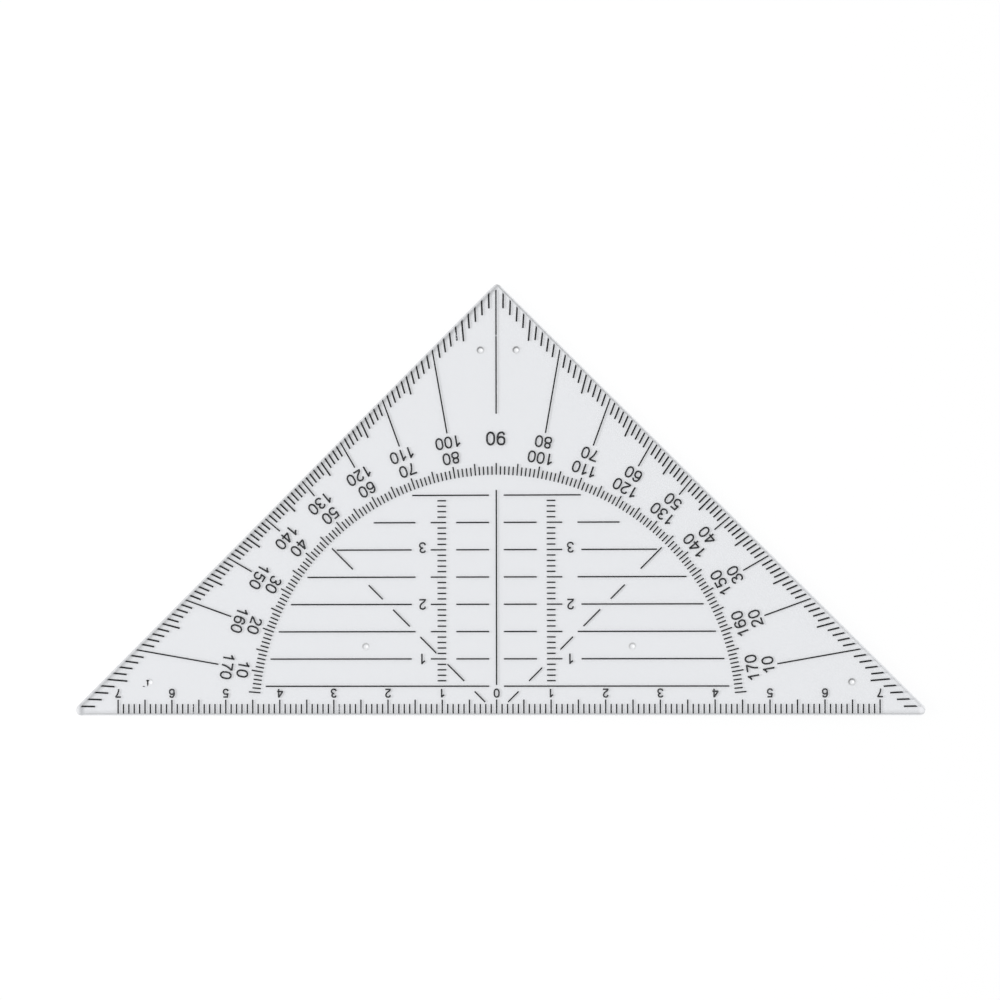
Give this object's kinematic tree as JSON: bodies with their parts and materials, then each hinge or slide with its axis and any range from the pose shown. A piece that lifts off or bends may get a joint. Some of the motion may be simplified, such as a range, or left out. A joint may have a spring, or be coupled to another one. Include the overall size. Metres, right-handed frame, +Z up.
{
  "type": "protractor set square",
  "caption": "Clear right-angled drawing triangle with equal legs, with a ruler, a protractor and a grid printed on its underside, lying on small moulded bosses.",
  "frame": {"origin": "middle of the part's box in plan, at the height of the boss tips that it lies on", "axes": "+X along the long edge, +Y from the long edge towards the right-angled corner, +Z up from the paper through the plate"},
  "size_m": [0.1558, 0.0788, 0.0024],
  "materials": {
    "clear_plastic": "clear moulded plastic, polished",
    "printed_ink": "matt black printed ink"
  },
  "bodies": {
    "root": {"plate": "clear_plastic", "millimetre_scale": "printed_ink", "inner_degree_scale": "printed_ink", "outer_degree_scale": "printed_ink", "ten_degree_lines": "printed_ink", "parallel_lines": "printed_ink", "height_scales": "printed_ink", "diagonal_lines": "printed_ink", "middle_line": "printed_ink"}
  },
  "joints": []
}
